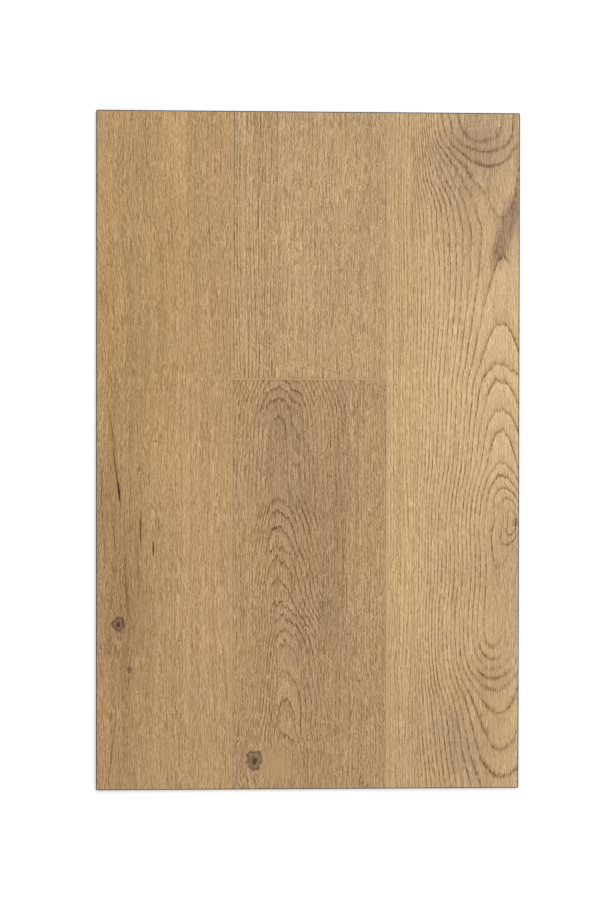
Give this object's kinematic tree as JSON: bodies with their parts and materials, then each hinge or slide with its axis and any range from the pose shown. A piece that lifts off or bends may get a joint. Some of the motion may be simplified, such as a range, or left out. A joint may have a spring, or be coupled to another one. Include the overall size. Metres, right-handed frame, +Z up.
{
  "type": "vinyl floor plank sample panel",
  "caption": "Flat rectangular sample panel of wood-look vinyl floor planks, click-locked edge to edge, with bevelled seams and a bevelled dark rim.",
  "frame": {"origin": "middle of the panel's back, which lies on the floor", "axes": "+Y along the planks, +X across them with the sawn-down left row at -X, +Z up out of the printed face"},
  "size_m": [0.5, 0.8, 0.005],
  "materials": {
    "oak_vinyl": "satin"
  },
  "bodies": {
    "root": {"plank_left": "oak_vinyl", "plank_middle_upper": "oak_vinyl", "plank_middle_lower": "oak_vinyl", "plank_right": "oak_vinyl"}
  },
  "joints": []
}
